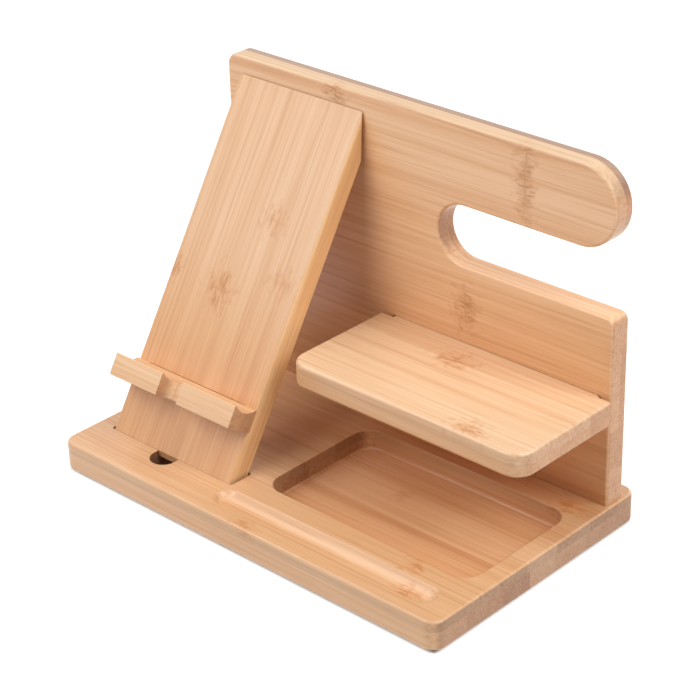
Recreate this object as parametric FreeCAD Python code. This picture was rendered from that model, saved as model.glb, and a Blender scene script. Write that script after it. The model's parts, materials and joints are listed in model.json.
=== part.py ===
"""Charging station organizer: laminated bamboo boards that push together into a desk stand.

The frame has its origin under the middle of the base, on the surface that the stand rests on.
X runs along the length, Y to the back and Z up. All lengths are in millimetres.
"""
import FreeCAD, Part
import math
import os

Vector = FreeCAD.Vector

# Base board
base_length = 240.0
base_depth = 144.0
base_thickness = 15.0
base_corner_radius = 7.0
base_edge_radius = 1.6

# Anti-slip pads under the base
pad_diameter = 10.0
pad_height = 1.5
pad_inset = 14.0

# Tray recess in the base, at its right
tray_depth = 10.5
tray_end_margin = 10.5
tray_front_margin = 34.5
tray_panel_gap = 16.0
tray_rest_gap = 12.8
tray_corner_radius = 10.0
tray_floor_radius = 1.5
tray_rim_radius = 0.6

# Pen groove along the front, cut by a ball-nosed cutter
groove_ball_radius = 7.8
groove_depth = 3.6
groove_end_margin = 13.4
groove_front_margin = 15.2
groove_rest_gap = 1.4
groove_rim_radius = 1.6

# Back panel with its hook arm
panel_thickness = 12.0
panel_height = 165.3
panel_end_inset = 2.0
panel_rear_inset = 9.5
panel_corner_radius = 6.5
panel_edge_radius = 1.5
panel_shoulder = 12.0
arm_height = 39.9
arm_end_flat = 0.3
hook_gap_height = 29.8
hook_gap_length = 100.8
hook_gap_corner_radius = 4.0

# Phone rest, leaning back against the panel
rest_width = 80.5
rest_thickness = 11.5
rest_front_margin = 24.0
rest_side_inset = 11.7
rest_head_drop = 8.9
rest_head_gap = 0.5
rest_head_relief = 1.5
rest_foot_depth = 3.0
rest_foot_end_gap = 1.5
rest_edge_radius = 1.0

# Ledge across the phone rest
ledge_overhang = 0.8
ledge_height_up_slope = 25.8
ledge_thickness = 11.2
ledge_reach = 15.8
ledge_cove_depth = 2.5
ledge_land = 0.7
ledge_edge_radius = 0.5
ledge_notch_width = 14.0
ledge_notch_depth = 9.0
ledge_tenon_depth = 6.0
ledge_shoulder = 7.0
ledge_slack = 0.2

# Cable passage: a long hole through the base that runs under the foot, and a channel from it to the back
cable_line_offset = -1.2
cable_hole_diameter = 14.0
cable_hole_forward = 3.0
cable_hole_back_wall = 1.2
cable_channel_width = 8.0
cable_channel_depth = 5.0
cable_channel_roof = 2.5

# Shelf over the tray
shelf_rest_gap = 9.0
shelf_reach = 65.8
shelf_thickness = 12.5
shelf_rise = 56.0
shelf_corner_radius = 10.0
shelf_edge_radius = 2.0
shelf_tenon_depth = 7.0
shelf_shoulder = 7.5
shelf_shoulder_gap = 1.8
shelf_end_overhang = 1.8

# Push fits: room beside, at the ends of and below each tenon
fit_gap = 0.25
tenon_end_gap = 0.8
tenon_floor_gap = 0.5
tenon_corner_radius = 2.0

# How near an edge lies to a place that it is looked for at, exactly and roughly
touching = 0.001
nearby = 0.5

# Places that follow from the sizes
base_bottom = pad_height
base_top = base_bottom + base_thickness
base_right = base_length / 2
base_front = -base_depth / 2
base_back = base_depth / 2
panel_back = base_back - panel_rear_inset
panel_front = panel_back - panel_thickness
panel_right = base_right - panel_end_inset
panel_left = -panel_right
panel_top = base_top + panel_height
panel_tenon_depth = base_thickness - cable_channel_depth - cable_channel_roof - tenon_floor_gap
arm_bottom = panel_top - arm_height
hook_gap_bottom = arm_bottom - hook_gap_height
rest_left = -base_right + rest_side_inset
rest_right = rest_left + rest_width
rest_middle = (rest_left + rest_right) / 2
cable_line = rest_middle + cable_line_offset
rest_foot = base_front + rest_front_margin
rest_head = panel_front - rest_head_gap
rest_head_top = panel_top - rest_head_drop
tilt = math.atan2(rest_head_top - base_top, rest_head - rest_foot)
rest_level_width = rest_thickness / math.sin(tilt)
ledge_top_up_slope = ledge_height_up_slope + ledge_thickness
shelf_top = base_top + shelf_rise
shelf_bottom = shelf_top - shelf_thickness
shelf_right = panel_right + shelf_end_overhang
shelf_left = rest_right + shelf_rest_gap
shelf_shoulder_line = panel_front - shelf_shoulder_gap
shelf_front = panel_front - shelf_reach
on_the_slope = FreeCAD.Placement(
    Vector(rest_middle, rest_foot, base_top),
    FreeCAD.Rotation(Vector(1, 0, 0), math.degrees(tilt) - 90),
)


def box(low, high):
    """A block between two opposite corners."""
    size = Vector(*high) - Vector(*low)
    return Part.makeBox(size.x, size.y, size.z, Vector(*low))


def edges_where(shape, test):
    """The edges of a shape whose bounding box passes the test."""
    return [edge for edge in shape.Edges if test(edge.BoundBox)]


def flat_at(low, high, place):
    """True where both limits of an edge's box lie at one place."""
    return abs(low - place) < touching and abs(high - place) < touching


def block_with_round_corners(low, high, axis, radius):
    """A block whose four edges along one axis are rounded."""
    block = box(low, high)
    across = [name for name in ("XLength", "YLength", "ZLength") if name != axis + "Length"]
    corners = edges_where(block, lambda edge: all(getattr(edge, name) < touching for name in across))
    return block.makeFillet(radius, corners)


def base_blank():
    """The base before machining: round corners, with the top and bottom edges eased."""
    blank = block_with_round_corners(
        (-base_right, base_front, base_bottom), (base_right, base_back, base_top), "Z", base_corner_radius
    )
    rims = edges_where(
        blank,
        lambda edge: flat_at(edge.ZMin, edge.ZMax, base_top) or flat_at(edge.ZMin, edge.ZMax, base_bottom),
    )
    return blank.makeFillet(base_edge_radius, rims)


def tray_limits():
    """The left, right, front and back of the tray recess."""
    return (
        rest_right + tray_rest_gap,
        base_right - tray_end_margin,
        base_front + tray_front_margin,
        panel_front - tray_panel_gap,
    )


def tray_cutter():
    """The tray's room, with round corners and a small cove around its floor."""
    left, right, front, back = tray_limits()
    floor = base_top - tray_depth
    cutter = block_with_round_corners(
        (left, front, floor), (right, back, base_top + tray_depth), "Z", tray_corner_radius
    )
    floor_edges = edges_where(cutter, lambda edge: flat_at(edge.ZMin, edge.ZMax, floor))
    return cutter.makeFillet(tray_floor_radius, floor_edges)


def groove_limits():
    """The left, right, front and back of the pen groove at the top of the base."""
    rise = groove_ball_radius - groove_depth
    half_width = math.sqrt(groove_ball_radius**2 - rise**2)
    line = base_front + groove_front_margin
    return (
        rest_right + groove_rest_gap,
        base_right - groove_end_margin,
        line - half_width,
        line + half_width,
    )


def groove_cutter():
    """The sweep of a ball along the groove, with a half ball at each end."""
    left, right, front, back = groove_limits()
    half_width = (back - front) / 2
    height = base_top - groove_depth + groove_ball_radius
    start = Vector(left + half_width, front + half_width, height)
    end = Vector(right - half_width, front + half_width, height)
    run = Part.makeCylinder(groove_ball_radius, end.x - start.x, start, Vector(1, 0, 0))
    balls = [Part.makeSphere(groove_ball_radius, centre) for centre in (start, end)]
    return run.fuse(balls).removeSplitter()


def foot_slot_cutter():
    """The shallow slot that the plumb foot of the phone rest drops into."""
    return block_with_round_corners(
        (rest_left - rest_foot_end_gap, rest_foot - fit_gap, base_top - rest_foot_depth),
        (
            rest_right + rest_foot_end_gap,
            rest_foot + rest_level_width + fit_gap,
            base_top + rest_foot_depth,
        ),
        "Z",
        rest_foot_end_gap,
    )


def cable_cutter():
    """The round-ended hole under the foot of the phone rest and the vaulted channel from it to the back."""
    hole_radius = cable_hole_diameter / 2
    hole_front = rest_foot - cable_hole_forward
    hole_back = rest_foot + rest_level_width - cable_hole_back_wall - hole_radius
    hole_ends = [
        Part.makeCylinder(hole_radius, 2 * base_top, Vector(cable_line, y, -base_top / 2))
        for y in (hole_front, hole_back)
    ]
    hole_run = box(
        (cable_line - hole_radius, hole_front, -base_top / 2),
        (cable_line + hole_radius, hole_back, 3 * base_top / 2),
    )
    half_width = cable_channel_width / 2
    spring_line = base_bottom + cable_channel_depth - half_width
    length = base_back - hole_back + base_edge_radius
    vault_start = Vector(cable_line, hole_back, spring_line)
    vault = Part.makeCylinder(half_width, length, vault_start, Vector(0, 1, 0))
    channel = box(
        (cable_line - half_width, hole_back, -pad_height),
        (cable_line + half_width, hole_back + length, spring_line),
    )
    return hole_run.fuse(hole_ends + [vault, channel]).removeSplitter()


def panel_tenon(gap=0.0, end_gap=0.0, floor_gap=0.0):
    """The stub under the panel, or with gaps the mortise that takes it."""
    floor = base_top - panel_tenon_depth - floor_gap
    return block_with_round_corners(
        (panel_left + panel_shoulder - end_gap, panel_front - gap, floor),
        (panel_right - panel_shoulder + end_gap, panel_back + gap, base_top + panel_tenon_depth),
        "Z",
        tenon_corner_radius,
    )


def shelf_tenon(gap=0.0, end_gap=0.0, floor_gap=0.0):
    """The tongue at the back of the shelf, or with gaps the mortise that takes it."""
    front = shelf_shoulder_line - shelf_tenon_depth
    back = panel_front + shelf_tenon_depth + floor_gap
    return block_with_round_corners(
        (shelf_left + shelf_shoulder - end_gap, front, shelf_bottom - gap),
        (shelf_right - shelf_shoulder + end_gap, back, shelf_top + gap),
        "Y",
        tenon_corner_radius,
    )


def ledge_tenon(slack=0.0, end_gap=0.0, floor_gap=0.0):
    """The tongue at the back of the ledge, or with gaps its mortise, standing on a level board."""
    half = rest_width / 2 - ledge_shoulder
    return block_with_round_corners(
        (-half - end_gap, -ledge_tenon_depth, ledge_height_up_slope),
        (half + end_gap, ledge_tenon_depth + floor_gap, ledge_top_up_slope + slack),
        "Y",
        tenon_corner_radius,
    )


def rim_of(board, limits):
    """The edges at the top of the base that go round a recess within the given limits."""
    left, right, front, back = limits
    return edges_where(
        board,
        lambda edge: flat_at(edge.ZMin, edge.ZMax, base_top)
        and edge.XMin > left - nearby
        and edge.XMax < right + nearby
        and edge.YMin > front - nearby
        and edge.YMax < back + nearby,
    )


def make_base_board():
    """The base with its tray, pen groove, slots and cable passage, the two recess rims eased."""
    board = base_blank()
    mortise = panel_tenon(fit_gap, tenon_end_gap, tenon_floor_gap)
    board = board.cut([tray_cutter(), groove_cutter(), foot_slot_cutter(), cable_cutter(), mortise])
    board = board.makeFillet(tray_rim_radius, rim_of(board, tray_limits()))
    return board.makeFillet(groove_rim_radius, rim_of(board, groove_limits()))


def make_pads():
    """Four round pads, one near each corner of the base."""
    sides = {"left": pad_inset - base_right, "right": base_right - pad_inset}
    ends = {"front": base_front + pad_inset, "back": base_back - pad_inset}
    return {
        f"pad_{end}_{side}": Part.makeCylinder(pad_diameter / 2, pad_height, Vector(x, y, 0))
        for side, x in sides.items()
        for end, y in ends.items()
    }


def make_back_panel():
    """The upright with its arm: an outline of lines and arcs, with the edges of both faces eased."""
    gap_radius = hook_gap_height / 2
    gap_round = panel_right - hook_gap_length + gap_radius
    sheet = box((panel_left, panel_front, base_top), (panel_right, panel_back, panel_top))
    gap_end = Part.makeCylinder(
        gap_radius,
        panel_thickness,
        Vector(gap_round, panel_front, hook_gap_bottom + gap_radius),
        Vector(0, 1, 0),
    )
    gap_run = box((gap_round, panel_front, hook_gap_bottom), (panel_right, panel_back, arm_bottom))
    sheet = sheet.cut(gap_end.fuse(gap_run).removeSplitter())

    def round_corner(shape, x, z, radius):
        corner = edges_where(
            shape, lambda edge: flat_at(edge.XMin, edge.XMax, x) and flat_at(edge.ZMin, edge.ZMax, z)
        )
        return shape.makeFillet(radius, corner)

    arm_end_radius = (arm_height - arm_end_flat) / 2
    sheet = round_corner(sheet, panel_right, panel_top, arm_end_radius)
    sheet = round_corner(sheet, panel_right, arm_bottom, arm_end_radius)
    sheet = round_corner(sheet, panel_left, panel_top, panel_corner_radius)
    sheet = round_corner(sheet, panel_right, hook_gap_bottom, hook_gap_corner_radius)
    face_edges = edges_where(
        sheet,
        lambda edge: any(flat_at(edge.YMin, edge.YMax, face) for face in (panel_front, panel_back))
        and not flat_at(edge.ZMin, edge.ZMax, base_top),
    )
    sheet = sheet.makeFillet(panel_edge_radius, face_edges)
    panel = sheet.fuse(panel_tenon()).removeSplitter()
    return panel.cut(shelf_tenon(fit_gap, tenon_end_gap, tenon_floor_gap))


def make_phone_rest():
    """A board cut plumb at its foot, with a level sole and a head whose tip alone comes near the panel."""
    sole = base_top - rest_foot_depth
    head_height = rest_thickness / math.cos(tilt) + rest_head_relief * math.tan(tilt)
    outline = [
        (rest_foot, base_top),
        (rest_head, rest_head_top),
        (rest_head - rest_head_relief, rest_head_top - head_height),
        (rest_foot + rest_level_width - rest_foot_depth / math.tan(tilt), sole),
        (rest_foot, sole),
    ]
    corners = [Vector(rest_left, y, z) for y, z in outline]
    side = Part.Face(Part.makePolygon(corners + corners[:1]))
    board = side.extrude(Vector(rest_width, 0, 0))
    long_edges = edges_where(board, lambda edge: edge.ZLength > rest_foot_depth + nearby)
    board = board.makeFillet(rest_edge_radius, long_edges)
    mortise = ledge_tenon(ledge_slack, tenon_end_gap, tenon_floor_gap)
    mortise.Placement = on_the_slope
    return board.cut(mortise)


def make_phone_ledge():
    """A bar with a coved top, a round-ended cable notch through its lip and a tongue at its back."""
    half = rest_width / 2 + ledge_overhang
    under_front = Vector(-half, -ledge_reach, ledge_height_up_slope)
    lip_front = Vector(-half, -ledge_reach, ledge_top_up_slope)
    cove_front = Vector(-half, -ledge_reach + ledge_land, ledge_top_up_slope)
    cove_middle = Vector(-half, -ledge_reach / 2, ledge_top_up_slope - ledge_cove_depth)
    cove_back = Vector(-half, -ledge_land, ledge_top_up_slope)
    top_back = Vector(-half, 0, ledge_top_up_slope)
    under_back = Vector(-half, 0, ledge_height_up_slope)
    profile = Part.Wire(
        [
            Part.makeLine(under_front, lip_front),
            Part.makeLine(lip_front, cove_front),
            Part.Arc(cove_front, cove_middle, cove_back).toShape(),
            Part.makeLine(cove_back, top_back),
            Part.makeLine(top_back, under_back),
            Part.makeLine(under_back, under_front),
        ]
    )
    bar = Part.Face(profile).extrude(Vector(2 * half, 0, 0))
    front_edges = edges_where(bar, lambda edge: flat_at(edge.YMin, edge.YMax, -ledge_reach))
    bar = bar.makeFillet(ledge_edge_radius, front_edges)
    half_notch = ledge_notch_width / 2
    notch_end = ledge_notch_depth - half_notch - ledge_reach
    notch_middle = Vector(cable_line_offset, notch_end, 0)
    notch_round = Part.makeCylinder(half_notch, 2 * ledge_top_up_slope, notch_middle)
    notch_run = box(
        (cable_line_offset - half_notch, -2 * ledge_reach, 0),
        (cable_line_offset + half_notch, notch_end, 2 * ledge_top_up_slope),
    )
    bar = bar.cut(notch_round.fuse(notch_run).removeSplitter())
    tongue = ledge_tenon().common(box((-half, 0, 0), (half, ledge_tenon_depth, 2 * ledge_top_up_slope)))
    ledge = bar.fuse(tongue).removeSplitter()
    ledge.Placement = on_the_slope
    return ledge


def make_shelf():
    """A plate with round front corners and eased edges, and a tongue between two shoulders."""
    plate = box((shelf_left, shelf_front, shelf_bottom), (shelf_right, shelf_shoulder_line, shelf_top))
    front_corners = edges_where(
        plate, lambda edge: edge.ZLength > touching and flat_at(edge.YMin, edge.YMax, shelf_front)
    )
    plate = plate.makeFillet(shelf_corner_radius, front_corners)
    rims = edges_where(
        plate,
        lambda edge: edge.ZLength < touching and not flat_at(edge.YMin, edge.YMax, shelf_shoulder_line),
    )
    plate = plate.makeFillet(shelf_edge_radius, rims)
    return plate.fuse(shelf_tenon()).removeSplitter()


def main():
    os.makedirs("parts", exist_ok=True)
    pieces = {
        "base_board": make_base_board(),
        "back_panel": make_back_panel(),
        "phone_rest": make_phone_rest(),
        "phone_ledge": make_phone_ledge(),
        "shelf": make_shelf(),
    }
    pieces.update(make_pads())
    for name, shape in pieces.items():
        shape.exportStep(f"parts/{name}.step")
        limits = shape.optimalBoundingBox()
        print(
            f"{name}: solids {len(shape.Solids)}, valid {shape.isValid()}, volume {shape.Volume:.0f} mm3,"
            f" x {limits.XMin:.1f} to {limits.XMax:.1f}, y {limits.YMin:.1f} to {limits.YMax:.1f},"
            f" z {limits.ZMin:.1f} to {limits.ZMax:.1f}"
        )


main()
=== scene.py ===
"""Looks of the charging station organizer: laminated bamboo under a satin lacquer, in soft studio light.

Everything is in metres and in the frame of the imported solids: X along the length, Y to the back, Z up.
Patterns of the wood are worked out in millimetres, along, across and through each board.
"""
import json
import math
from functools import partial, reduce
from typing import NamedTuple

import bpy
from mathutils import Matrix, Vector


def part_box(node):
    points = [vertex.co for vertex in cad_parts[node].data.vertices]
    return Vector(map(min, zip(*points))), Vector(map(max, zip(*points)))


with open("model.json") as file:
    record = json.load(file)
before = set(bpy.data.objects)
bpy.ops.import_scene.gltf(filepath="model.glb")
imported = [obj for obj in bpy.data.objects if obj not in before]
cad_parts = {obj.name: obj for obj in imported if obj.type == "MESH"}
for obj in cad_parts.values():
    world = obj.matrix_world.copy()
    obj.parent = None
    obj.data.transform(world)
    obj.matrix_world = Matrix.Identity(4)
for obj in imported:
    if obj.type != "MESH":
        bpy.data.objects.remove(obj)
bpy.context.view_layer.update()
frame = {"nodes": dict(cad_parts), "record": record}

# Directions, units and white
X, Y, Z = Vector((1, 0, 0)), Vector((0, 1, 0)), Vector((0, 0, 1))
mm_per_metre = 1000
white = (1, 1, 1, 1)

# Camera, as the photograph was taken
camera_place = (0.6120, -0.63785, 0.54605)
camera_yaw = math.radians(43.480)
camera_pitch = math.radians(27.920)
camera_roll = math.radians(-1.556)
camera_lens = 111.385
camera_sensor = 36.0

# Softboxes: azimuth, 0 in front of the object and 90 at its right, and elevation in degrees, and watts
softboxes = {
    "key": (-20, 50, 9.9),
    "left": (-78, 50, 5.2),
    "front": (-30, 25, 2.8),
    "right": (102, 50, 8.5),
    "right_low": (106, 25, 6.6),
    "top_right": (90, 75, 2.2),
    "behind": (180, 20, 4.0),
}

# Softboxes: what they share, and the light of the room round them
softbox_size = 0.8
softbox_distance = 1.4
softbox_aim_height = 0.08
room_light = 0.005

# Floor: its reach, its colour, and its glow, which ends where the base stands over it
floor_reach = 12.0
floor_colour = (0.62, 0.62, 0.62, 1)
floor_glow = 0.75
floor_glow_edge = 0.004

# Noise: its middle, and how fine its detail is
noise_middle = 0.5
plain_detail = 1.0
fine_detail = 2.0

# Bamboo: the strips that a board is glued from, and its two layers
strip_unevenness = 0.45
strip_fibre_shift = 90.0
layer_shift = 37.0
lower_layer, upper_layer = 0, 1

# Bamboo: the length along the grain and the width across it of what noise draws
broad_spot = (230.0, 7.0)
streak_spot = (120.0, 1.7)
fibre_spot = (32.0, 0.50)
wave_spot, wave_size = (140.0, 45.0), 2.4
swirl_spot, swirl_size = (8.0, 5.0), 3.5
ragged_spot = (4.5, 4.5)
dash_spot = (6.0, 1.2)

# Bamboo: the levels of noise at which a pattern starts and is full
grain_noise = (0.25, 0.75)
dark_streak_noise = (0.70, 0.98)
dark_fibre_noise = (0.35, 0.80)
ragged_noise = (0.3, 0.7)
dash_noise = (0.40, 0.64)

# Bamboo: how much each pattern counts in a tone that goes from pale at 0 to brown at 1
tone_start = -0.16
broad_share = 0.32
streak_share = 0.52
fibre_share = 0.30

# Bamboo: how strongly single dark fibres show
dark_fibre_share = 0.36

# Bamboo: the marks where the stem had its joints, ragged round a ring
ragged_reach = (0.65, 1.4)
mark_reach = (0.15, 1.2)
ring_width, ring_wobble = 1.3, 5.0
haze_share = 0.60
ring_share = 0.55

# Bamboo: how far a surface has turned towards an edge, an end or a face
edge_turn = (0.4, 0.9)
rim_turn = (0.1, 0.6)
end_turn = (0.65, 0.97)
eased_turn, face_turn = (0.25, 0.60), (0.75, 0.97)

# Bamboo: how dark end grain is at least, and by its strip and its fibres
end_least = 0.60
end_strip_share = 0.25
end_fibre_share = 0.15

# Bamboo: colours from pale to brown, of fibres, of joint marks and of glue
wood_colours = ((0.86, 0.60, 0.385), (0.78, 0.495, 0.285), (0.68, 0.37, 0.20))
fibre_brown = (0.56, 0.30, 0.15, 1)
mark_haze = (0.68, 0.345, 0.16, 1)
mark_brown = (0.50, 0.20, 0.06, 1)
glue_brown = (0.42, 0.22, 0.105, 1)

# Bamboo: glue lines
glue_line_width = 0.22
glue_share = 0.28

# Bamboo: what colours are multiplied by on eased edges and sloping walls, partly wear where the lacquer is
# thin and partly painted sheen
eased_wear_and_sheen_tint = (1.02, 1.03, 1.04, 1)

# Bamboo: painted shade inside a hole: its colour, how far it fades out at its edges, and how far it runs
# back
hole_shade_colour = (0.03, 0.018, 0.01, 1)
hole_shade_fade = 3.0
hole_shade_run_back = 15.0

# Bamboo: roughness and relief of the surface, and its lacquer
least_roughness = 0.36
grain_roughness = 0.08
end_roughness = 0.14
grain_groove = -0.5
dash_groove = -0.3
glue_groove = -0.6
wood_relief = 0.00005
lacquer = {"Coat Weight": 0.45, "Coat Roughness": 0.2}

# Boards: how thick the layer under the better face is, and for the ledge the layer on the phone rest
base_layer = 5.2
panel_layer = 7.0
shelf_layer = 6.0
rest_layer = 5.5
ledge_layer = 7.5

# Boards: the height of the panel's rim, and where up its slope painted shade on the phone rest begins and
# is full
panel_rim_height = 23.8
rest_shading_start, rest_shading_end = 120.0, 45.0

# Rubber: its colours, the dust on it and its moulded grain, both as spots per metre
rubber_black = (0.022, 0.021, 0.020, 1)
rubber_dusty = (0.09, 0.085, 0.08, 1)
dust_spots, dust_detail = 260.0, 4.0
dust_noise, dust_share = (0.45, 0.75), 0.35
moulded_spots, moulded_detail = 2400.0, 3.0
moulded_noise, moulded_roughness = (0.2, 0.8), (0.62, 0.85)
rubber_relief = 0.00004

# Sockets of a mix of two colours
mix_share, mix_first, mix_second, mix_result = 0, 6, 7, 2


class Pattern:
    """The nodes of a material or a world, written as formulas: each call adds nodes and gives an output."""

    def __init__(self, owner):
        owner.use_nodes = True
        self.owner = owner
        self.tree = owner.node_tree
        self.tree.nodes.clear()

    def node(self, kind, inputs, output=0, **settings):
        made = self.tree.nodes.new("ShaderNode" + kind)
        for name, value in settings.items():
            setattr(made, name, value)
        for socket, value in inputs.items():
            if isinstance(value, bpy.types.NodeSocket):
                self.tree.links.new(value, made.inputs[socket])
            else:
                made.inputs[socket].default_value = value
        return made.outputs[output]

    def math(self, operation, *values):
        return self.node("Math", dict(enumerate(values)), operation=operation)

    def vector_math(self, operation, *values, output="Vector"):
        return self.node("VectorMath", dict(enumerate(values)), output, operation=operation)

    def vector(self, *values):
        return self.node("CombineXYZ", dict(enumerate(values)))

    def product(self, *values):
        return reduce(partial(self.math, "MULTIPLY"), values)

    def largest(self, *values):
        return reduce(partial(self.math, "MAXIMUM"), values)

    def weighted(self, total, *terms):
        """A value plus others, each times its weight."""
        for value, weight in terms:
            total = self.math("MULTIPLY_ADD", value, weight, total)
        return total

    def along(self, vector, axis):
        """How far a vector reaches along an axis."""
        return self.vector_math("DOT_PRODUCT", vector, axis, output="Value")

    def ramp(self, value, low, high, start=0.0, end=1.0):
        """Goes smoothly from start to end while the value goes from low to high."""
        limits = {"Value": value, "From Min": low, "From Max": high, "To Min": start, "To Max": end}
        return self.node("MapRange", limits, interpolation_type="SMOOTHSTEP")

    def fade(self, value, low, high, start=1.0):
        """Goes smoothly from start to nothing while the value goes from low to high."""
        return self.ramp(value, low, high, start, 0.0)

    def noise(self, u, v, depth, spot, detail=fine_detail):
        """Noise from 0 to 1, in spots of a length along u and a width along v."""
        length, width = spot
        place = self.vector(self.math("DIVIDE", u, length), self.math("DIVIDE", v, width), depth)
        return self.node("TexNoise", {"Vector": place, "Scale": 1.0, "Detail": detail})

    def sway(self, u, v, depth, spot):
        """Noise to both sides of zero."""
        return self.math("SUBTRACT", self.noise(u, v, depth, spot), noise_middle)

    def mix(self, share, first, second, blend="MIX"):
        sockets = {mix_share: share, mix_first: first, mix_second: second}
        return self.node("Mix", sockets, mix_result, data_type="RGBA", blend_type=blend)

    def tint(self, share, colour, tint):
        """The colour times the tint, where the share is 1."""
        return self.mix(share, colour, tint, "MULTIPLY")

    def colours(self, value, stops):
        """A colour for each value from 0 to 1, with the stops evenly spaced."""
        made = self.node("ValToRGB", {"Fac": value})
        elements = made.node.color_ramp.elements
        while len(elements) < len(stops):
            elements.new(1.0)
        for index, colour in enumerate(stops):
            elements[index].position = index / (len(stops) - 1)
            elements[index].color = colour
        return made

    def seen(self):
        """1 for what the camera sees, straight, mirrored or through something, and 0 for plain light."""
        path = self.node("LightPath", {}).node.outputs
        rays = ("Is Camera Ray", "Is Glossy Ray", "Is Transmission Ray")
        return self.largest(*(path[ray] for ray in rays))

    def finish(self, colour, roughness, height, relief, **constants):
        """The surface itself, with its relief in metres."""
        bump = self.node("Bump", {"Strength": 1.0, "Distance": relief, "Height": height})
        inputs = {"Base Color": colour, "Roughness": roughness, "Normal": bump, **constants}
        return self.show(self.node("BsdfPrincipled", inputs))

    def show(self, surface, output="OutputMaterial"):
        shown = self.tree.nodes.new("ShaderNode" + output)
        self.tree.links.new(surface, shown.inputs["Surface"])
        return self.owner


class Mark(NamedTuple):
    """A joint mark: its place and size along and across the board, how dark it is, and its layer."""

    along: float
    across: float
    length: float
    width: float
    strength: float
    layer: int = upper_layer


class Rim(NamedTuple):
    """The part of a board's long edge beyond a place across it, with a tint for each layer."""

    start: float
    tint: tuple
    lower_tint: tuple


class PaintedShading(NamedTuple):
    """Painted shading: a tint that comes in along a direction, from one place to another."""

    tint: tuple
    along: Vector
    start: float
    end: float


class Board(NamedTuple):
    """A board's grain: its axes along, across and through it, where its two layers meet on the last of
    them, its strips and joint marks, and what its colours are multiplied by on the whole, in its lower
    layer, on its long edges and on its ends. It may have a rim, painted shading towards one side, and
    painted shade inside a hole, given by the hole's corners."""

    node: str
    axes: tuple
    split: float
    strip_width: float
    seed: float
    marks: list
    tint: tuple
    strip_contrast: float = 0.26
    lower_tint: tuple = (0.90, 0.84, 0.78, 1)
    edge_tint: tuple = (0.95, 0.90, 0.84, 1)
    end_tint: tuple = (0.62, 0.53, 0.49, 1)
    rim: Rim = None
    painted_shading: PaintedShading = None
    hole: tuple = None


class Slope(NamedTuple):
    """The face of the phone rest: the directions up it and off it, and how far its foot is along each."""

    up: Vector
    off: Vector
    foot_up: float
    foot_off: float


def joint_marks(p, board, u, v, upper, swirl):
    """How far a place is within a joint mark and on the mark's ring, from 0 to the mark's strength."""
    ragged = p.ramp(p.noise(u, v, board.seed, ragged_spot), *ragged_noise, *ragged_reach)
    wobble = p.product(swirl, ring_wobble)
    place = p.vector(u, v, p.product(upper, layer_shift))
    marked = ringed = 0.0
    for mark in board.marks:
        offset = p.vector_math("SUBTRACT", place, (mark.along, mark.across, mark.layer * layer_shift))
        scaled = p.vector_math("MULTIPLY", offset, (2 / mark.length, 2 / mark.width, 1.0))
        reach = p.product(p.vector_math("LENGTH", scaled, output="Value"), ragged)
        inside = p.fade(reach, *mark_reach, mark.strength)
        off_ring = p.math("ABSOLUTE", p.math("ADD", p.along(offset, X), wobble))
        marked = p.largest(marked, inside)
        ringed = p.largest(ringed, p.product(inside, p.fade(off_ring, 0.0, ring_width)))
    return marked, ringed


def hole_shade_mask(p, place, hole):
    """Painted shade in a hole: 1 in its box, and less towards the box's sides."""
    low, high = (corner / mm_per_metre for corner in hole)
    offset = p.vector_math("SUBTRACT", place, (low + high) / 2)
    beyond = p.vector_math("SUBTRACT", p.vector_math("ABSOLUTE", offset), (high - low) / 2)
    farthest = p.largest(*(p.along(beyond, axis * mm_per_metre) for axis in (X, Y, Z)))
    return p.fade(farthest, -hole_shade_fade, 0.0)


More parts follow.
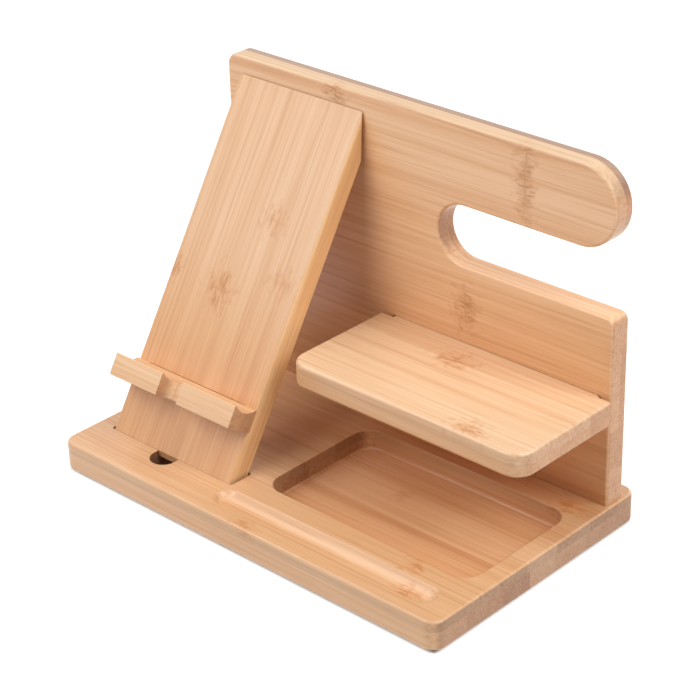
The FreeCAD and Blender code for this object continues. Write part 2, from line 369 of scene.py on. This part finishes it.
def bamboo(board):
    """Laminated bamboo: strips glued side by side in two layers, with fibres, joint marks and end grain."""
    p = Pattern(bpy.data.materials.new("bamboo_" + board.node))
    place = p.node("TexCoord", {}, "Object")
    normal = p.node("TexCoord", {}, "Normal")
    u, v, w = (p.along(place, axis * mm_per_metre) for axis in board.axes)
    ending, edging, facing = (p.math("ABSOLUTE", p.along(normal, axis)) for axis in board.axes)
    upper = p.math("GREATER_THAN", w, board.split)
    lower = p.math("SUBTRACT", 1.0, upper)

    # Fibres follow the growth of the stem, and bend round its joints
    wave = p.sway(u, v, board.seed, wave_spot)
    swirl = p.sway(u, v, board.seed, swirl_spot)
    marked, ringed = joint_marks(p, board, u, v, upper, swirl)
    bent = p.weighted(v, (wave, wave_size), (p.product(swirl, marked), swirl_size))

    # Strips, each with its own tone and fibres
    strip_place = p.weighted(board.seed, (v, 1 / board.strip_width), (upper, layer_shift))
    strips = {"W": strip_place, "Scale": 1.0, "Randomness": strip_unevenness}
    strip = p.node("TexVoronoi", strips, "Color", voronoi_dimensions="1D", feature="F1")
    to_glue = p.node("TexVoronoi", strips, "Distance", voronoi_dimensions="1D", feature="DISTANCE_TO_EDGE")
    strip_tone, _, strip_offset = p.node("SeparateColor", {"Color": strip}).node.outputs
    shifted = p.weighted(w, (strip_offset, strip_fibre_shift))

    def grain(spot, detail=fine_detail):
        """Noise stretched along the grain, from 0 to 1."""
        depth = p.math("DIVIDE", shifted, spot[1])
        return p.ramp(p.noise(u, bent, depth, spot, detail), *grain_noise)

    broad = grain(broad_spot, plain_detail)
    streak = grain(streak_spot)
    fibre = grain(fibre_spot)

    # Tone from pale to brown, and single dark fibres
    strip_shade = p.math("SUBTRACT", strip_tone, noise_middle)
    grain_shares = (broad, broad_share), (streak, streak_share), (fibre, fibre_share)
    shade = p.weighted(tone_start, (strip_shade, board.strip_contrast), *grain_shares)
    stops = [(*(part * share for part, share in zip(colour, board.tint)), 1) for colour in wood_colours]
    colour = p.colours(shade, stops)
    dark_fibre = p.product(p.ramp(streak, *dark_streak_noise), p.ramp(fibre, *dark_fibre_noise))
    colour = p.mix(p.product(dark_fibre, dark_fibre_share), colour, fibre_brown)

    # The lower layer, the rim with painted sheen on its upper layer, the long edges, and painted shading
    # towards one end or side of the board
    colour = p.tint(lower, colour, board.lower_tint)
    if board.rim:
        rim = p.product(p.ramp(edging, *rim_turn), p.math("GREATER_THAN", v, board.rim.start))
        colour = p.tint(p.product(rim, upper), colour, board.rim.tint)
        colour = p.tint(p.product(rim, lower), colour, board.rim.lower_tint)
    colour = p.tint(p.ramp(edging, *edge_turn), colour, board.edge_tint)
    if board.painted_shading:
        shading_place = p.along(place, board.painted_shading.along * mm_per_metre)
        shading_share = p.ramp(shading_place, board.painted_shading.start, board.painted_shading.end)
        colour = p.tint(p.product(shading_share, facing), colour, board.painted_shading.tint)

    # Joint marks: a haze with a ring and short dark dashes in it
    dashes = p.ramp(p.noise(u, bent, shifted, dash_spot, plain_detail), *dash_noise)
    dashes = p.product(dashes, marked)
    colour = p.mix(p.product(marked, haze_share), colour, mark_haze)
    colour = p.mix(p.largest(dashes, p.product(ringed, ring_share)), colour, mark_brown)

    # End grain, each strip darkened in its own way and dotted with cut fibres
    ends = p.ramp(ending, *end_turn)
    end_shade = p.weighted(end_least, (strip_tone, end_strip_share), (fibre, end_fibre_share))
    colour = p.tint(p.product(ends, end_shade), colour, board.end_tint)

    # Eased edges and sloping walls made paler: partly rubbed wear, partly painted sheen
    eased = p.product(p.ramp(facing, *eased_turn), p.fade(facing, *face_turn))
    colour = p.tint(eased, colour, eased_wear_and_sheen_tint)

    # Glue lines between strips and between the layers
    strip_glue = p.fade(to_glue, 0.0, glue_line_width / board.strip_width)
    to_split = p.math("ABSOLUTE", p.math("SUBTRACT", w, board.split))
    glue = p.largest(strip_glue, p.fade(to_split, 0.0, glue_line_width))
    colour = p.mix(p.product(glue, glue_share), colour, glue_brown)

    # Painted shade inside a hole
    if board.hole:
        colour = p.mix(hole_shade_mask(p, place, board.hole), colour, hole_shade_colour)

    # Sheen and relief
    rough_grain = [(pattern, grain_roughness) for pattern in (streak, fibre, marked)]
    roughness = p.weighted(least_roughness, *rough_grain, (ends, end_roughness))
    grooves = (streak, grain_groove), (fibre, grain_groove), (dashes, dash_groove), (glue, glue_groove)
    return p.finish(colour, roughness, p.weighted(0.0, *grooves), wood_relief, **lacquer)


def rubber():
    """Matt black rubber with dust on a fine moulded grain."""
    p = Pattern(bpy.data.materials.new("rubber"))
    place = p.node("TexCoord", {}, "Object")
    moulded = p.node("TexNoise", {"Vector": place, "Scale": moulded_spots, "Detail": moulded_detail})
    dust = p.node("TexNoise", {"Vector": place, "Scale": dust_spots, "Detail": dust_detail})
    dusty = p.product(p.ramp(dust, *dust_noise), dust_share)
    colour = p.mix(dusty, rubber_black, rubber_dusty)
    return p.finish(colour, p.ramp(moulded, *moulded_noise, *moulded_roughness), moulded, rubber_relief)


def in_mm(node):
    """The lowest and highest corner of a node, in millimetres."""
    return [corner * mm_per_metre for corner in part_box(node)]


def opening_in_mm(name):
    """The lowest and highest corner of an opening in the part's record, in millimetres."""
    openings = frame["record"]["physics"]["openings"]
    box = next(opening["box_m"] for opening in openings if opening["name"] == name)
    return [Vector(corner) * mm_per_metre for corner in box]


def base_board():
    """The base, with its grain along its length, painted shade inside its cable hole, and painted light
    falloff across its top.
    """
    low, high = in_mm("base_board")
    cable_low, cable_high = opening_in_mm("cable_hole")
    hole_low = Vector((cable_low.x - hole_shade_fade, cable_low.y - hole_shade_fade, low.z))
    hole_high = Vector((cable_high.x + hole_shade_fade, cable_high.y + hole_shade_run_back, high.z))
    return Board(
        node="base_board",
        axes=(X, Y, Z),
        split=high.z - base_layer,
        strip_width=21.0,
        seed=197.1,
        strip_contrast=0.58,
        tint=(0.915, 0.835, 0.76),
        lower_tint=(1.12, 1.08, 1.06, 1),
        edge_tint=(0.90, 0.87, 0.82, 1),
        end_tint=(0.42, 0.35, 0.30, 1),
        # Painted light falloff: darker and more orange towards the right end and the front, partly the
        # front strip's own tone
        painted_shading=PaintedShading(tint=(0.92, 0.89, 0.83, 1), along=X - Y * 0.5, start=-30, end=40),
        hole=(hole_low, hole_high),
        marks=[
            Mark(2, -67, 16, 10, 0.7),
            Mark(6, -72, 12, 9, 0.5),
            Mark(77, -34, 17, 12, 1.0),
            Mark(84, -44, 15, 12, 0.9),
            Mark(91, -58, 16, 14, 0.9),
            Mark(105, 40, 20, 16, 1.0),
            Mark(30, 10, 12, 14, 0.3, lower_layer),
        ],
    )


def back_panel():
    """The panel, with its grain level, its better face to the front, and a rim paled by painted sheen on
    its upper layer and darker on its lower layer.
    """
    low, high = in_mm("back_panel")
    return Board(
        node="back_panel",
        axes=(X, Z, -Y),
        split=-low.y - panel_layer,
        strip_width=20.0,
        seed=11.0,
        tint=(1.05, 0.935, 0.835),
        lower_tint=(0.98, 0.96, 0.95, 1),
        edge_tint=(1.0, 1.02, 1.04, 1),
        # The rim's upper tint is painted sheen on the top edge; its lower tint darkens the back of the top
        rim=Rim(
            start=high.z - panel_rim_height, tint=(0.83, 0.92, 0.98, 1), lower_tint=(0.46, 0.46, 0.52, 1)
        ),
        # Painted shade: darker and more orange towards the bottom and the right, below the shelf, partly
        # the lower strips' own tone
        painted_shading=PaintedShading(tint=(0.93, 0.86, 0.76, 1), along=X * 0.3 - Z, start=-105, end=-45),
        marks=[
            Mark(-46, 178, 18, 12, 0.9),
            Mark(68, 164, 13, 44, 0.8),
            Mark(34, 90, 18, 24, 0.8),
            Mark(20, 120, 12, 18, 0.4, lower_layer),
            Mark(-60, 60, 14, 20, 0.4, lower_layer),
        ],
    )


def shelf():
    """The shelf, with its grain along its length."""
    high = in_mm("shelf")[1]
    return Board(
        node="shelf",
        axes=(X, Y, Z),
        split=high.z - shelf_layer,
        strip_width=19.0,
        seed=23.0,
        tint=(0.96, 0.95, 0.94),
        lower_tint=(1.0, 0.94, 0.86, 1),
        end_tint=(0.73, 0.585, 0.505, 1),
        marks=[
            Mark(41, 34.6, 24, 18, 0.8),
            Mark(86, -10, 20, 15, 0.75),
            Mark(60, 10, 14, 16, 0.4, lower_layer),
        ],
    )


def rest_slope():
    """The slope from the foot of the phone rest, on the base, to its head."""
    base_high = in_mm("base_board")[1]
    rest_low, rest_high = in_mm("phone_rest")
    foot = Vector((0, rest_low.y, base_high.z))
    tilt = math.atan2(rest_high.z - foot.z, rest_high.y - foot.y)
    up = Vector((0, math.cos(tilt), math.sin(tilt)))
    off = Vector((0, -math.sin(tilt), math.cos(tilt)))
    return Slope(up, off, foot.dot(up), foot.dot(off))


def phone_rest(slope):
    """The phone rest, with its grain up the slope and painted shade, darker and more orange, towards its
    foot.
    """
    marks_from_foot = [
        Mark(122.6, -56, 18, 20, 0.55),
        Mark(82.8, -74, 24, 20, 0.95),
        Mark(96, -39, 16, 18, 0.5),
        Mark(85.5, -105, 13, 8, 0.8),
        Mark(60, -60, 14, 20, 0.4, lower_layer),
    ]
    return Board(
        node="phone_rest",
        axes=(slope.up, X, slope.off),
        split=slope.foot_off - rest_layer,
        strip_width=20.0,
        seed=37.0,
        tint=(0.91, 0.84, 0.79),
        lower_tint=(0.98, 0.96, 0.93, 1),
        # Side faces paler and less orange than the front: partly the tone of side grain, partly painted
        # light and sheen
        edge_tint=(1.20, 1.28, 1.16, 1),
        painted_shading=PaintedShading(
            tint=(0.92, 0.77, 0.58, 1),
            along=-slope.up,
            start=-slope.foot_up - rest_shading_start,
            end=-slope.foot_up - rest_shading_end,
        ),
        marks=[mark._replace(along=slope.foot_up + mark.along) for mark in marks_from_foot],
    )


def phone_ledge(slope):
    """The ledge, with its grain along its length and no joint marks."""
    return Board(
        node="phone_ledge",
        axes=(X, slope.up, slope.off),
        split=slope.foot_off + ledge_layer,
        strip_width=24.0,
        seed=51.0,
        tint=(0.965, 0.91, 0.83),
        marks=[],
    )


def dress(node, material):
    """Puts a material on a CAD node."""
    for slot in frame["nodes"][node].material_slots:
        slot.material = material


def dress_boards():
    slope = rest_slope()
    for board in (base_board(), back_panel(), shelf(), phone_rest(slope), phone_ledge(slope)):
        dress(board.node, bamboo(board))


def dress_pads():
    material = rubber()
    for name in frame["nodes"]:
        if name.startswith("pad_"):
            dress(name, material)


def floor_paint():
    """A pale colour that the camera sees as white, apart from shadows and from what the base covers."""
    p = Pattern(bpy.data.materials.new("floor"))
    place = p.node("TexCoord", {}, "Object")
    base_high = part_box("base_board")[1]
    beyond = [
        p.math("SUBTRACT", p.math("ABSOLUTE", p.along(place, axis)), base_high.dot(axis)) for axis in (X, Y)
    ]
    outside = p.ramp(p.largest(*beyond), -floor_glow_edge, 0.0)
    plain = p.node("BsdfDiffuse", {"Color": floor_colour})
    bright = p.node("Emission", {"Color": white, "Strength": p.product(p.seen(), outside, floor_glow)})
    return p.show(p.node("AddShader", {0: plain, 1: bright}))


def add_floor():
    """A square floor that keeps the object's shadow."""
    corners = [(-1, -1, 0), (1, -1, 0), (1, 1, 0), (-1, 1, 0)]
    mesh = bpy.data.meshes.new("floor")
    mesh.from_pydata([Vector(corner) * floor_reach for corner in corners], [], [(0, 1, 2, 3)])
    mesh.materials.append(floor_paint())
    floor = bpy.data.objects.new("floor", mesh)
    bpy.context.scene.collection.objects.link(floor)


def add_softbox(name, azimuth, elevation, strength):
    """A square softbox that faces the object."""
    azimuth, elevation = math.radians(azimuth), math.radians(elevation)
    level = math.cos(elevation)
    direction = Vector((math.sin(azimuth) * level, -math.cos(azimuth) * level, math.sin(elevation)))
    data = bpy.data.lights.new(name, "AREA")
    data.size = softbox_size
    data.energy = strength
    light = bpy.data.objects.new(name, data)
    light.location = direction * softbox_distance + Z * softbox_aim_height
    light.rotation_euler = (-direction).to_track_quat("-Z", "Y").to_euler()
    bpy.context.scene.collection.objects.link(light)


def add_room():
    """A dim room round the softboxes, which the camera sees as white."""
    p = Pattern(bpy.data.worlds.new("studio"))
    strength = p.ramp(p.seen(), 0.0, 1.0, room_light, 1.0)
    background = p.node("Background", {"Color": white, "Strength": strength})
    bpy.context.scene.world = p.show(background, "OutputWorld")


def add_lights():
    for name, settings in softboxes.items():
        add_softbox(name, *settings)
    add_room()


def add_camera():
    """A camera with the photograph's place, turn and lens."""
    data = bpy.data.cameras.new("camera")
    data.lens = camera_lens
    data.sensor_width = camera_sensor
    camera = bpy.data.objects.new("camera", data)
    bpy.context.scene.collection.objects.link(camera)
    turn = (
        Matrix.Rotation(camera_yaw, 4, "Z")
        @ Matrix.Rotation(math.pi / 2 - camera_pitch, 4, "X")
        @ Matrix.Rotation(camera_roll, 4, "Z")
    )
    camera.matrix_world = Matrix.Translation(camera_place) @ turn
    bpy.context.scene.camera = camera


dress_boards()
dress_pads()
add_floor()
add_lights()
add_camera()
bpy.context.scene.view_settings.view_transform = "Standard"
